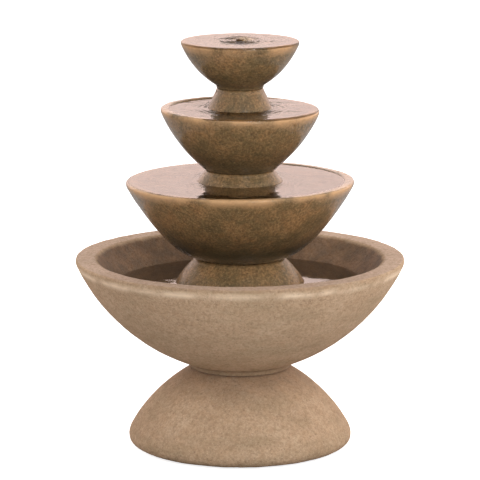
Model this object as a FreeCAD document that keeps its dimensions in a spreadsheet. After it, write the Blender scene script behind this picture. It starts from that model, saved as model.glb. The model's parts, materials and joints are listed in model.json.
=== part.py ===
"""Tiered cast-stone water fountain, in millimetres: +Z up, origin at the middle of the base on the ground.

Eight hollow castings stand on each other. A submersible pump under the riser lifts the water through one
tube in the middle to the top bowl, and every bowl spills into the one below it.
"""
import FreeCAD, Part
import itertools
import math
import os
import re

import Sketcher

PARTS_FOLDER = "parts"
NEAR = 0.01

# Driving dimensions. Heights inside a casting are measured from its own foot.
SIZES = {
    # base dome
    "base_height": 225, "base_top_radius": 138, "base_edge_radius": 342, "base_sweep": 403,
    "base_edge_round": 48, "base_mouth_radius": 232, "base_inner_sweep": 350, "base_hole_radius": 108,
    "notch_width": 44, "notch_height": 34,
    # basin
    "basin_height": 311, "basin_rim_radius": 464.85, "basin_sweep": 540, "basin_foot_radius": 141,
    "basin_foot_height": 11, "basin_rim_width": 66, "basin_rim_round": 14, "basin_lip_round": 9,
    "basin_floor": 140, "basin_floor_radius": 232, "basin_inner_sweep": 900,
    "basin_recess_radius": 104, "basin_recess_height": 64, "basin_recess_draft": 6,
    "drain_x": 70, "drain_y": 45, "drain_radius": 16,
    # riser, the pump's cover
    "riser_height": 170, "riser_top_radius": 124, "riser_foot_radius": 217, "riser_sweep": 300,
    "riser_wall": 28, "riser_hole_radius": 24, "riser_top_round": 8,
    "water_notch_width": 42, "water_notch_height": 22,
    # lower bowl
    "lower_height": 217, "lower_rim_radius": 324, "lower_foot_radius": 124, "lower_belly_radius": 199,
    "lower_belly_height": 43, "lower_foot_sweep": 210, "lower_sweep": 740, "lower_rim_width": 34,
    "lower_floor": 63, "lower_floor_radius": 178, "lower_inner_sweep": 400,
    # lower pedestal
    "lower_pedestal_height": 184, "lower_pedestal_top_radius": 94.5, "lower_pedestal_foot_radius": 150,
    "lower_pedestal_sweep": 211, "lower_pedestal_hole_radius": 40,
    # middle bowl
    "middle_height": 171, "middle_rim_radius": 225.5, "middle_foot_radius": 98, "middle_sweep": 400,
    "middle_rim_width": 29, "middle_floor": 65, "middle_floor_radius": 122, "middle_inner_sweep": 330,
    # upper pedestal
    "upper_pedestal_height": 161, "upper_pedestal_top_radius": 64, "upper_pedestal_foot_radius": 107,
    "upper_pedestal_sweep": 317, "upper_pedestal_hole_radius": 30,
    # top bowl
    "top_height": 131, "top_rim_radius": 168.5, "top_foot_radius": 65, "top_foot_height": 6, "top_sweep": 232,
    "top_rim_width": 26, "top_floor": 53, "top_floor_radius": 84, "top_inner_sweep": 210,
    "top_recess_radius": 36, "top_recess_height": 26,
    # shared by the spill bowls and the pedestals
    "bowl_rim_round": 9, "bowl_lip_round": 5, "pedestal_wall": 24, "pedestal_top_wall": 19.2,
    # rubber setting pads between the tiers
    "pad_thickness": 1, "pad_radius": 8,
    # sleeves cast into the lower and middle bowls, and the tube that runs through them
    "sleeve_radius": 14.5, "sleeve_bore": 11.5, "sleeve_flange_radius": 24, "sleeve_flange": 4,
    "sleeve_foot_gap": 2, "lower_sleeve_rise": 175, "middle_sleeve_rise": 142,
    "tube_radius": 9.5, "tube_bore": 6.35, "tube_start": 88, "tube_length": 566,
    # outlet in the top bowl
    "nozzle_radius": 11, "nozzle_bore": 7, "nozzle_rise": 81, "nozzle_flange_radius": 24,
    "nozzle_flange": 4, "nozzle_thread_length": 39, "barb_radius": 6.2, "barb_ridge_radius": 6.3,
    "barb_pitch": 7, "nozzle_barb_length": 30, "barb_bore": 4.5, "washer_thickness": 2,
    "locknut_radius": 18, "locknut_height": 8,
    # stopper in the basin's drain hole
    "stopper_length": 30, "stopper_taper": 2.5, "stopper_flange_radius": 24, "stopper_flange": 5,
    "stopper_cord_bore": 4,
    # pump, measured from the basin's floor and from the outlet in the middle
    "pump_width": 60, "pump_bottom": 8, "pump_corner_round": 6, "rotor_height": 38,
    "motor_length": 60, "volute_length": 18, "intake_length": 27, "pump_gap": 0.2,
    "can_radius": 12.5, "can_depth": 38, "chamber_radius": 20, "chamber_depth": 13,
    "inlet_hole_radius": 3.1, "inlet_circle": 8.5, "inlet_holes": 6,
    "stub_radius": 8.8, "stub_bore": 6.5, "stub_top": 84, "stub_bore_overlap": 3,
    "bush_radius": 4, "bush_length": 4, "rear_bush_length": 6, "shaft_radius": 1.5, "shaft_length": 59,
    "running_gap": 0.05, "magnet_radius": 11.5, "magnet_length": 36,
    "impeller_radius": 17.5, "impeller_hub_radius": 5, "impeller_hub_length": 10.5, "impeller_gap": 1.5,
    "blade_thickness": 1.8, "blade_length": 8, "blade_inset": 0.5, "blades": 6, "back_plate": 1.5,
    "seal_radius": 25, "seal_thickness": 2.4, "seal_groove_gap": 0.1,
    "intake_wall": 2.5, "slot_width": 3, "slot_pitch": 6.5, "slots": 8, "slot_height": 26, "slot_drop": 8,
    "side_slots": 3, "side_slot_start": 5, "side_slot_margin": 14,
    "dial_radius": 8, "dial_thickness": 2.6, "dial_stem_radius": 2.5, "dial_height": 22,
    "dial_grip_width": 2.4, "dial_grip_height": 3,
    "adapter_flange": 2, "adapter_plug_length": 12, "adapter_barb_length": 24,
    "clamp_width": 9, "clamp_thickness": 0.8, "clamp_gap": 0.05, "clamp_height": 96,
    "worm_box": 8, "worm_radius": 2.6, "worm_length": 20, "worm_head_radius": 4, "worm_head": 4,
    "foot_cup_radius": 11, "foot_neck_radius": 5, "foot_cup_height": 4.8, "foot_neck_height": 4,
    "foot_spread": 20, "foot_front": 20, "foot_rear": 58,
    "gland_radius": 7, "gland_tip_radius": 4.5, "gland_length": 18, "gland_cord_bore": 3, "gland_drop": 14,
}

doc = FreeCAD.newDocument("TieredFountain")
sheet = doc.addObject("Spreadsheet::Sheet", "Sizes")
for row, (name, value) in enumerate(SIZES.items(), start=1):
    sheet.set(f"A{row}", name)
    sheet.set(f"B{row}", str(value))
    sheet.setAlias(f"B{row}", name)
doc.recompute()

pieces = []

# Heights of the feet and floors above the ground, each standing on the one before.
BASIN_FOOT = "base_height + pad_thickness"
BASIN_FLOOR = f"{BASIN_FOOT} + basin_floor"
RISER_TOP = f"{BASIN_FLOOR} + riser_height"
LOWER_FOOT = f"{RISER_TOP} + pad_thickness"
LOWER_FLOOR = f"{LOWER_FOOT} + lower_floor"
LOWER_PEDESTAL_TOP = f"{LOWER_FLOOR} + lower_pedestal_height"
MIDDLE_FOOT = f"{LOWER_PEDESTAL_TOP} + pad_thickness"
MIDDLE_FLOOR = f"{MIDDLE_FOOT} + middle_floor"
UPPER_PEDESTAL_TOP = f"{MIDDLE_FLOOR} + upper_pedestal_height"
TOP_FOOT = f"{UPPER_PEDESTAL_TOP} + pad_thickness"
TOP_FLOOR = f"{TOP_FOOT} + top_floor"


# ---------------------------------------------------------------- helpers

def linked(formula):
    """The formula, with each of the sheet's names written as a reference to the sheet."""
    return re.sub(r"[a-z][a-z_]*", lambda word: f"Sizes.{word.group()}", str(formula))


def size_of(formula):
    """The formula's value now, in millimetres."""
    return float(sheet.evalExpression(linked(formula)))


def bind(item, **formulas):
    """Bind the item's properties to formulas of the sheet. A double underscore stands for a dot."""
    for name, formula in formulas.items():
        item.setExpression(name.replace("__", "."), linked(formula))


def new_body(label, height="0", turn=None, x="0", y="0"):
    """An empty body for one piece, standing at the given place. turn is (axis, degrees)."""
    body = doc.addObject("PartDesign::Body", label)
    body.Label = label
    body.AllowCompound = True
    if turn:
        body.Placement.Rotation = FreeCAD.Rotation(*turn)
    bind(body, Placement__Base__x=x, Placement__Base__y=y, Placement__Base__z=height)
    pieces.append(body)
    return body


def origin_feature(body, role):
    return next(item for item in body.Origin.OriginFeatures if item.Role == role)


def fix_point(sketch, edge, end, across, up):
    """Hold one end of an edge at the given distances from the sketch's origin."""
    for kind, formula, axis in (("DistanceX", across, -2), ("DistanceY", up, -1)):
        if formula == "0":
            sketch.addConstraint(Sketcher.Constraint("PointOnObject", edge, end, axis))
        else:
            number = sketch.addConstraint(Sketcher.Constraint(kind, -1, 1, edge, end, size_of(formula)))
            sketch.setExpression(f"Constraints[{number}]", linked(formula))


def draw_outline(sketch, corners):
    """Draw a closed outline counter-clockwise.

    Each corner is (across, up), and a straight edge leaves it. (across, up, radius) leaves it on an arc
    that bulges out of the outline, and (across, up, radius, "in") on one that hollows it.
    """
    points = [FreeCAD.Vector(size_of(corner[0]), size_of(corner[1]), 0) for corner in corners]
    ends = []
    for number, corner in enumerate(corners):
        start, stop = points[number], points[(number + 1) % len(points)]
        if len(corner) == 2:
            edge = sketch.addGeometry(Part.LineSegment(start, stop))
            ends.append((edge, 1, 2))
            continue
        radius = size_of(corner[2])
        hollowed = "in" in corner
        chord = stop - start
        depth = math.sqrt(radius ** 2 - chord.Length ** 2 / 4)
        inward = FreeCAD.Vector(-chord.y, chord.x, 0).normalize()
        centre = (start + stop) / 2 + inward * (-depth if hollowed else depth)
        first, last = (stop, start) if hollowed else (start, stop)
        first_angle = math.atan2(first.y - centre.y, first.x - centre.x)
        last_angle = math.atan2(last.y - centre.y, last.x - centre.x)
        circle = Part.Circle(centre, FreeCAD.Vector(0, 0, 1), radius)
        edge = sketch.addGeometry(Part.ArcOfCircle(circle, first_angle, last_angle))
        ends.append((edge, 2, 1) if hollowed else (edge, 1, 2))
        number = sketch.addConstraint(Sketcher.Constraint("Radius", edge, radius))
        sketch.setExpression(f"Constraints[{number}]", linked(corner[2]))
    for number, corner in enumerate(corners):
        edge, first, _ = ends[number]
        before, _, last = ends[number - 1]
        sketch.addConstraint(Sketcher.Constraint("Coincident", before, last, edge, first))
        fix_point(sketch, edge, first, corner[0], corner[1])


def draw_circle(sketch, across, up, radius):
    centre = FreeCAD.Vector(size_of(across), size_of(up), 0)
    edge = sketch.addGeometry(Part.Circle(centre, FreeCAD.Vector(0, 0, 1), size_of(radius)))
    number = sketch.addConstraint(Sketcher.Constraint("Radius", edge, size_of(radius)))
    sketch.setExpression(f"Constraints[{number}]", linked(radius))
    fix_point(sketch, edge, 3, across, up)


def new_sketch(body, plane="XY_Plane", offset=None):
    sketch = body.newObject("Sketcher::SketchObject", f"{body.Label}_sketch")
    sketch.AttachmentSupport = [(origin_feature(body, plane), "")]
    sketch.MapMode = "FlatFace"
    if offset:
        bind(sketch, AttachmentOffset__Base__z=offset)
    return sketch


def turned(label, corners, height="0", **place):
    """A body whose outline, given in (radius, height) corners, is turned round its upright axis."""
    body = new_body(label, height, **place)
    sketch = new_sketch(body, "XZ_Plane")
    draw_outline(sketch, corners)
    revolution = body.newObject("PartDesign::Revolution", f"{label}_turned")
    revolution.Profile = sketch
    revolution.ReferenceAxis = (sketch, ["V_Axis"])
    revolution.Angle = 360
    doc.recompute()
    return body


def extruded(body, corners, length, cut=False, offset=None, up=True):
    """Pad or pocket an outline, or a circle given as one (across, up, radius), along the body's axis."""
    sketch = new_sketch(body, offset=offset)
    if len(corners) == 1:
        draw_circle(sketch, *corners[0])
    else:
        draw_outline(sketch, corners)
    kind = "Pocket" if cut else "Pad"
    before = body.Tip.Shape.Volume if body.Tip else 0
    feature = body.newObject(f"PartDesign::{kind}", f"{body.Label}_{kind.lower()}")
    feature.Profile = sketch
    feature.Reversed = up if cut else not up
    bind(feature, Length=length)
    doc.recompute()
    changed = feature.Shape.Volume - before
    if changed == 0 or (changed < 0) != cut:
        raise RuntimeError(f"{feature.Name} changes the volume of {body.Label} by {changed}")
    return feature


def primitive(body, kind, place=(0, 0, 0), turn=None, **formulas):
    """Add or take away one of PartDesign's own shapes, at a place in the body given as formulas."""
    feature = body.newObject(f"PartDesign::{kind}", f"{body.Label}_{kind.lower()}")
    if turn:
        feature.Placement.Rotation = FreeCAD.Rotation(*turn)
    across, along, up = place
    bind(feature, Placement__Base__x=across, Placement__Base__y=along, Placement__Base__z=up, **formulas)
    doc.recompute()
    return feature


def repeat_round(body, feature, count, axis="Z_Axis"):
    pattern = body.newObject("PartDesign::PolarPattern", f"{body.Label}_pattern")
    pattern.Originals = [feature]
    pattern.Axis = (origin_feature(body, axis), [""])
    pattern.Angle = 360
    bind(pattern, Occurrences=count)
    body.Tip = pattern
    doc.recompute()
    return pattern


def repeat_along(body, feature, count, pitch, axis="X_Axis"):
    """Repeat a feature count times along an axis, pitch apart."""
    pattern = body.newObject("PartDesign::LinearPattern", f"{body.Label}_row")
    pattern.Originals = [feature]
    pattern.Direction = (origin_feature(body, axis), [""])
    bind(pattern, Occurrences=count, Length=f"({pitch}) * ({count} - 1)")
    body.Tip = pattern
    doc.recompute()
    return pattern


def round_rings(body, radius, *rings):
    """Round the body's circular edges that have one of the (radius, height) pairs given."""
    base = body.Tip
    names = []
    for ring_radius, height in rings:
        wanted = (size_of(ring_radius), size_of(height))
        for number, edge in enumerate(base.Shape.Edges, start=1):
            if not isinstance(edge.Curve, Part.Circle) or abs(edge.Curve.Axis.z) < 0.99:
                continue
            if math.dist((edge.Curve.Radius, edge.Curve.Center.z), wanted) < NEAR:
                names.append(f"Edge{number}")
    if not names:
        raise RuntimeError(f"{body.Label} has no edge at {rings}")
    fillet = body.newObject("PartDesign::Fillet", f"{body.Label}_round")
    fillet.Base = (base, names)
    bind(fillet, Radius=radius)
    doc.recompute()
    return fillet


def rectangle(left, bottom, right, top):
    return [(left, bottom), (right, bottom), (right, top), (left, top)]


def rounded_rectangle(left, bottom, right, top, corner):
    return [
        (f"{left} + ({corner})", bottom), (f"{right} - ({corner})", bottom, corner),
        (right, f"{bottom} + ({corner})"), (right, f"{top} - ({corner})", corner),
        (f"{right} - ({corner})", top), (f"{left} + ({corner})", top, corner),
        (left, f"{top} - ({corner})"), (left, f"{bottom} + ({corner})", corner),
    ]


# ---------------------------------------------------------------- castings

def make_base_pedestal():
    """Hollow dome, open below, with a notch at the rear for the pump's cord."""
    body = turned("base_pedestal", [
        ("base_mouth_radius", "0"),
        ("base_edge_radius", "0", "base_sweep"),
        ("base_top_radius", "base_height"),
        ("base_hole_radius", "base_height", "base_inner_sweep", "in"),
    ])
    round_rings(body, "base_edge_round", ("base_edge_radius", "0"))
    notch = rectangle("-notch_width / 2", "base_mouth_radius / 2", "notch_width / 2", "base_edge_radius")
    extruded(body, notch, "notch_height", cut=True)


def make_basin():
    """Open bowl on a short foot, recessed below, with a drain hole off its middle."""
    foot = ("basin_foot_radius", "basin_foot_height", "basin_sweep")
    rim_inside = "basin_rim_radius - basin_rim_width"
    body = turned("basin", [
        ("basin_recess_radius", "0"),
        ("basin_foot_radius", "0"),
        foot,
        ("basin_rim_radius", "basin_height"),
        (rim_inside, "basin_height", "basin_inner_sweep", "in"),
        ("basin_floor_radius", "basin_floor"),
        ("0", "basin_floor"),
        ("0", "basin_recess_height"),
        ("basin_recess_radius - basin_recess_draft", "basin_recess_height"),
    ], BASIN_FOOT)
    round_rings(body, "basin_rim_round", ("basin_rim_radius", "basin_height"))
    round_rings(body, "basin_lip_round", (rim_inside, "basin_height"))
    extruded(body, [("drain_x", "drain_y", "drain_radius")], "basin_floor", cut=True)


def make_riser():
    """Hollow dome over the pump, with four water notches at its foot and a hole for the tube on top."""
    inner_top = "riser_height - riser_wall"
    body = turned("riser", [
        ("riser_foot_radius - riser_wall", "0"),
        ("riser_foot_radius", "0", "riser_sweep"),
        ("riser_top_radius", "riser_height"),
        ("riser_hole_radius", "riser_height"),
        ("riser_hole_radius", inner_top),
        ("riser_top_radius - riser_wall / 2", inner_top, "riser_sweep - riser_wall", "in"),
    ], BASIN_FLOOR)
    round_rings(body, "riser_top_round", ("riser_top_radius", "riser_height"))
    inside = "riser_foot_radius - riser_wall * 2"
    notch = rectangle(inside, "-water_notch_width / 2", "riser_foot_radius + 1", "water_notch_width / 2")
    cut = extruded(body, notch, "water_notch_height", cut=True)
    repeat_round(body, cut, "4")


def bowl_outline(name, outside):
    """The outline of a spill bowl with a sleeve hole: the outside's corners, then the inside."""
    return [
        ("sleeve_radius", "0"),
        *outside,
        (f"{name}_rim_radius", f"{name}_height"),
        (f"{name}_rim_radius - {name}_rim_width", f"{name}_height", f"{name}_inner_sweep", "in"),
        (f"{name}_floor_radius", f"{name}_floor"),
        ("sleeve_radius", f"{name}_floor"),
    ]


def round_bowl_rim(body, name):
    round_rings(body, "bowl_rim_round", (f"{name}_rim_radius", f"{name}_height"))
    round_rings(body, "bowl_lip_round", (f"{name}_rim_radius - {name}_rim_width", f"{name}_height"))


def make_lower_bowl():
    body = turned("lower_bowl", bowl_outline("lower", [
        ("lower_foot_radius", "0", "lower_foot_sweep"),
        ("lower_belly_radius", "lower_belly_height", "lower_sweep"),
    ]), LOWER_FOOT)
    round_bowl_rim(body, "lower")


def make_middle_bowl():
    body = turned("middle_bowl", bowl_outline("middle", [
        ("middle_foot_radius", "0", "middle_sweep"),
    ]), MIDDLE_FOOT)
    round_bowl_rim(body, "middle")


def make_top_bowl():
    """The top bowl has no sleeve: its floor is drilled for the outlet, over a recess for the locknut."""
    body = turned("top_bowl", [
        ("top_recess_radius", "0"),
        ("top_foot_radius", "0"),
        ("top_foot_radius", "top_foot_height", "top_sweep"),
        ("top_rim_radius", "top_height"),
        ("top_rim_radius - top_rim_width", "top_height", "top_inner_sweep", "in"),
        ("top_floor_radius", "top_floor"),
        ("nozzle_radius + running_gap", "top_floor"),
        ("nozzle_radius + running_gap", "top_recess_height"),
        ("top_recess_radius", "top_recess_height"),
    ], TOP_FOOT)
    round_bowl_rim(body, "top")


def make_pedestal(name, height):
    """Hollow flared pedestal, open below, with a hole on top for the sleeve and the tube."""
    inner_top = f"{name}_height - pedestal_top_wall"
    turned(name, [
        (f"{name}_foot_radius - pedestal_wall", "0"),
        (f"{name}_foot_radius", "0", f"{name}_sweep"),
        (f"{name}_top_radius", f"{name}_height"),
        (f"{name}_hole_radius", f"{name}_height"),
        (f"{name}_hole_radius", inner_top),
        (f"{name}_top_radius - pedestal_top_wall", inner_top, f"{name}_sweep - pedestal_wall", "in"),
    ], height)


# ---------------------------------------------------------------- between the tiers

def make_pads(label, ring_radius, height):
    """Four thin round pads on a circle, which level the tier above."""
    group = doc.addObject("Part::Compound", label)
    group.Label = label
    discs = []
    for number in range(4):
        disc = doc.addObject("Part::Cylinder", f"{label}_{number + 1}")
        angle = math.radians(45 + 90 * number)
        bind(disc, Radius="pad_radius", Height="pad_thickness",
             Placement__Base__x=f"({ring_radius}) * {math.cos(angle):.6f}",
             Placement__Base__y=f"({ring_radius}) * {math.sin(angle):.6f}",
             Placement__Base__z=height)
        discs.append(disc)
    group.Links = discs
    doc.recompute()
    pieces.append(group)


def make_sleeve(label, foot, floor, rise):
    """Flanged sleeve through a bowl's floor, taller than the water, so that the bowl doesn't drain."""
    top = f"{floor} + {rise}"
    turned(label, [
        ("sleeve_bore", "sleeve_foot_gap"),
        ("sleeve_radius", "sleeve_foot_gap"),
        ("sleeve_radius", floor),
        ("sleeve_flange_radius", floor),
        ("sleeve_flange_radius", f"{floor} + sleeve_flange"),
        ("sleeve_radius", f"{floor} + sleeve_flange"),
        ("sleeve_radius", top),
        ("sleeve_bore", top),
    ], foot)


def make_supply_tube():
    """Clear tube from the pump's adapter to the top outlet's barb."""
    turned("supply_tube", [
        ("tube_bore", "0"),
        ("tube_radius", "0"),
        ("tube_radius", "tube_length"),
        ("tube_bore", "tube_length"),
    ], f"{BASIN_FLOOR} + tube_start")


# ---------------------------------------------------------------- outlet in the top bowl

def barb_corners(start, ridges, upward=True):
    """The outside of a hose barb: ridges that each slope in towards its tip."""
    step = 1 if upward else -1
    corners = []
    for ridge in range(ridges):
        low = f"{start} + ({step * ridge}) * barb_pitch"
        corners.append(("barb_ridge_radius", low))
        corners.append(("barb_radius", f"{low} + ({step}) * barb_pitch"))
    return corners


def make_outlet_nozzle():
    """Flanged outlet: a riser pipe above its flange, a thread through the floor and a barb below."""
    barb_top = "-nozzle_thread_length"
    barb_tip = f"{barb_top} - nozzle_barb_length"
    flange_top = "washer_thickness + nozzle_flange"
    barb = barb_corners(barb_top, 4, upward=False)
    turned("outlet_nozzle", [
        ("barb_bore", barb_tip),
        ("barb_radius", barb_tip),
        *reversed(barb),
        ("nozzle_radius", barb_top),
        ("nozzle_radius", "washer_thickness"),
        ("nozzle_flange_radius", "washer_thickness"),
        ("nozzle_flange_radius", flange_top),
        ("nozzle_radius", flange_top),
        ("nozzle_radius", "nozzle_rise"),
        ("nozzle_bore", "nozzle_rise"),
        ("nozzle_bore", f"{barb_top} + nozzle_flange"),
        ("barb_bore", f"{barb_top} + nozzle_flange"),
    ], TOP_FLOOR)


def make_nozzle_washer():
    turned("nozzle_washer", [
        ("nozzle_radius", "0"),
        ("nozzle_flange_radius - 1", "0"),
        ("nozzle_flange_radius - 1", "washer_thickness"),
        ("nozzle_radius", "washer_thickness"),
    ], TOP_FLOOR)


def make_nozzle_locknut():
    body = new_body("nozzle_locknut", f"{TOP_FOOT} + top_recess_height - locknut_height")
    primitive(body, "AdditivePrism", Circumradius="locknut_radius", Height="locknut_height", Polygon="6")
    primitive(body, "SubtractiveCylinder", Radius="nozzle_radius", Height="locknut_height")


# ---------------------------------------------------------------- drain stopper

def make_drain_stopper():
    """Rubber plug with a flange and a bore for the pump's cord."""
    top = "stopper_length + washer_thickness"
    plug_radius = "drain_radius - running_gap"
    turned("drain_stopper", [
        ("stopper_cord_bore", "0"),
        (f"{plug_radius} - stopper_taper", "0"),
        (plug_radius, "stopper_length"),
        (plug_radius, top),
        ("stopper_flange_radius", top),
        ("stopper_flange_radius", f"{top} + stopper_flange"),
        ("stopper_cord_bore", f"{top} + stopper_flange"),
    ], f"{BASIN_FLOOR} - stopper_length", x="drain_x", y="drain_y")


def make_stopper_washer():
    turned("stopper_washer", [
        ("drain_radius", "0"),
        ("stopper_flange_radius - 1", "0"),
        ("stopper_flange_radius - 1", "washer_thickness"),
        ("drain_radius", "washer_thickness"),
    ], BASIN_FLOOR, x="drain_x", y="drain_y")


# ---------------------------------------------------------------- pump
# Its pieces are drawn as seen from the front, with the rotor's axis pointing at the viewer.

FACE_FRONT = (FreeCAD.Vector(1, 0, 0), 90)
FACE_REAR = (FreeCAD.Vector(1, 0, 0), -90)
UPRIGHT_IN_PUMP = (FreeCAD.Vector(1, 0, 0), -90)
HALF = "pump_width / 2"
PUMP_TOP = "pump_bottom + pump_width"
MOTOR_REAR = "volute_length / 2 + motor_length"
CAN_REAR = "volute_length / 2 + can_depth"
CLAMP_RADIUS = "tube_radius + clamp_gap + clamp_thickness"
WORM_ACROSS = f"{CLAMP_RADIUS} + worm_box / 2"


def pump_body(label, rear):
    """A body drawn from the front, whose own origin is rear millimetres behind the outlet."""
    return new_body(label, BASIN_FLOOR, turn=FACE_FRONT, y=rear)


def pump_face(inset="0"):
    """The pump's rounded square front, drawn in by inset."""
    return rounded_rectangle(f"-{HALF} + {inset}", f"pump_bottom + {inset}", f"{HALF} - {inset}",
                             f"{PUMP_TOP} - {inset}", f"pump_corner_round - {inset}")


def make_pump_housing():
    """Sealed motor block, with the rotor's can and the rear bush's seat open at its front."""
    body = pump_body("pump_housing", MOTOR_REAR)
    extruded(body, pump_face(), "motor_length")
    extruded(body, [("0", "rotor_height", "can_radius")], "can_depth", cut=True,
             offset="motor_length", up=False)
    extruded(body, [("0", "rotor_height", "bush_radius")], "rear_bush_length", cut=True,
             offset="motor_length - can_depth", up=False)


def make_volute_cover():
    """Impeller chamber with a ring of inlet holes in front and the outlet's stub on top."""
    body = pump_body("volute_cover", "volute_length / 2")
    extruded(body, pump_face(), "volute_length")
    primitive(body, "AdditiveCylinder", ("0", f"{PUMP_TOP} - 1", "volute_length / 2"), UPRIGHT_IN_PUMP,
              Radius="stub_radius", Height=f"stub_top - ({PUMP_TOP}) + 1")
    extruded(body, [("0", "rotor_height", "chamber_radius")], "chamber_depth", cut=True)
    bore_start = "rotor_height + chamber_radius - stub_bore_overlap"
    primitive(body, "SubtractiveCylinder", ("0", bore_start, "volute_length / 2"), UPRIGHT_IN_PUMP,
              Radius="stub_bore", Height=f"stub_top - ({bore_start})")
    seal_sketch = new_sketch(body)
    for side in ("+", "-"):
        draw_circle(seal_sketch, "0", "rotor_height",
                    f"seal_radius {side} (seal_thickness / 2 + seal_groove_gap)")
    groove = body.newObject("PartDesign::Pocket", "volute_cover_groove")
    groove.Profile = seal_sketch
    groove.Reversed = True
    bind(groove, Length="seal_thickness")
    doc.recompute()
    extruded(body, [("0", "rotor_height", "bush_radius")], "chamber_depth + bush_length / 2", cut=True)
    for number in range(int(SIZES["inlet_holes"])):
        angle = math.tau * number / SIZES["inlet_holes"]
        across = f"inlet_circle * {math.sin(angle):.6f}"
        height = f"rotor_height + inlet_circle * {math.cos(angle):.6f}"
        hole = (across, height, "inlet_hole_radius")
        extruded(body, [hole], "volute_length - chamber_depth + 1", cut=True, offset="chamber_depth - 1")


def make_chamber_seal():
    """O-ring in the groove between the housing and the volute cover."""
    ring = doc.addObject("Part::Torus", "chamber_seal")
    ring.Label = "chamber_seal"
    ring.Placement.Rotation = FreeCAD.Rotation(*FACE_FRONT)
    bind(ring, Radius1="seal_radius", Radius2="seal_thickness / 2",
         Placement__Base__y="volute_length / 2 - seal_thickness / 2",
         Placement__Base__z=f"{BASIN_FLOOR} + rotor_height")
    doc.recompute()
    pieces.append(ring)


def rotor_piece(label, corners, rear):
    """A piece turned round the rotor's axis, from rear millimetres behind the outlet forwards."""
    return turned(label, corners, f"{BASIN_FLOOR} + rotor_height", turn=FACE_FRONT, y=rear)


def hollow(inner, outer, length):
    return [(inner, "0"), (outer, "0"), (outer, length), (inner, length)]


def make_rotor():
    """Fixed ceramic shaft in two bushes, with the magnet and the impeller running on it."""
    running_bore = "shaft_radius + running_gap"
    rotor_piece("rear_bush", hollow("shaft_radius", "bush_radius", "rear_bush_length"),
                f"{CAN_REAR} + rear_bush_length")
    rotor_piece("front_bush", hollow("shaft_radius", "bush_radius", "bush_length / 2"),
                "volute_length / 2 - chamber_depth")
    rotor_piece("rotor_shaft", [("0", "0"), ("shaft_radius", "0"), ("shaft_radius", "shaft_length"),
                                ("0", "shaft_length")], f"{CAN_REAR} + rear_bush_length")
    rotor_piece("rotor_magnet", hollow(running_bore, "magnet_radius", "magnet_length"),
                "volute_length / 2 + magnet_length")
    body = rotor_piece("impeller", [
        (running_bore, "0"),
        ("impeller_hub_radius", "0"),
        ("impeller_hub_radius", "impeller_gap"),
        ("impeller_radius", "impeller_gap"),
        ("impeller_radius", "impeller_gap + back_plate"),
        ("impeller_hub_radius", "impeller_gap + back_plate"),
        ("impeller_hub_radius", "impeller_hub_length"),
        (running_bore, "impeller_hub_length"),
    ], "volute_length / 2")
    blade = rectangle("impeller_hub_radius - blade_inset", "-blade_thickness / 2",
                      "impeller_radius - blade_inset", "blade_thickness / 2")
    pad = extruded(body, blade, "blade_length", offset="impeller_gap + back_plate / 2")
    repeat_round(body, pad, "blades")


def make_intake_cover():
    """Slotted strainer box that pulls forward off the volute cover."""
    body = pump_body("intake_cover", "-volute_length / 2 - pump_gap")
    extruded(body, pump_face(), "intake_length")
    extruded(body, pump_face("intake_wall"), "intake_length - intake_wall", cut=True)
    first_slot = "-slot_pitch * (slots - 1) / 2 - slot_width / 2"
    slot_top = f"{PUMP_TOP} - slot_drop"
    front = rectangle(first_slot, f"{slot_top} - slot_height", f"{first_slot} + slot_width", slot_top)
    slot = extruded(body, front, "intake_wall + 1", cut=True, offset="intake_length", up=False)
    repeat_along(body, slot, "slots", "slot_pitch")
    side = primitive(body, "SubtractiveBox",
                     (f"-{HALF} - 1", "pump_bottom + side_slot_margin", "side_slot_start"),
                     Length="pump_width + 2", Width="pump_width - 2 * side_slot_margin", Height="slot_width")
    repeat_along(body, side, "side_slots", "slot_pitch", "Z_Axis")
    extruded(body, [("0", "dial_height", "dial_stem_radius + running_gap")], "intake_wall + 1", cut=True,
             offset="intake_length", up=False)


def make_flow_dial():
    """Knob on the strainer's front, with a stem through its wall and a grip bar."""
    front = "volute_length / 2 + pump_gap + intake_length"
    body = turned("flow_dial", [
        ("0", "-intake_wall - 1.5"),
        ("dial_stem_radius", "-intake_wall - 1.5"),
        ("dial_stem_radius", "pump_gap"),
        ("dial_radius", "pump_gap"),
        ("dial_radius", "dial_thickness"),
        ("0", "dial_thickness"),
    ], f"{BASIN_FLOOR} + dial_height", turn=FACE_FRONT, y=f"-({front})")
    grip = rectangle("-dial_grip_width / 2", "-dial_radius + 1", "dial_grip_width / 2", "dial_radius - 1")
    extruded(body, grip, "dial_grip_height", offset="dial_thickness")


def make_suction_feet():
    """Four rubber suction cups under the pump."""
    group = doc.addObject("Part::Compound", "suction_feet")
    group.Label = "suction_feet"
    feet = []
    places = itertools.product(("-foot_spread", "foot_spread"), ("foot_front", "foot_rear"))
    for number, (across, along) in enumerate(places, start=1):
        cup = doc.addObject("Part::Cone", f"foot_cup_{number}")
        bind(cup, Radius1="foot_cup_radius", Radius2="foot_neck_radius", Height="foot_cup_height")
        neck = doc.addObject("Part::Cylinder", f"foot_neck_{number}")
        bind(neck, Radius="foot_neck_radius", Height="foot_neck_height")
        neck_start = f"{BASIN_FLOOR} + pump_bottom - foot_neck_height"
        for shape, height in ((cup, BASIN_FLOOR), (neck, neck_start)):
            bind(shape, Placement__Base__x=across, Placement__Base__y=along, Placement__Base__z=height)
        foot = doc.addObject("Part::Fuse", f"foot_{number}")
        foot.Base = cup
        foot.Tool = neck
        feet.append(foot)
    group.Links = feet
    doc.recompute()
    pieces.append(group)


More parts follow.
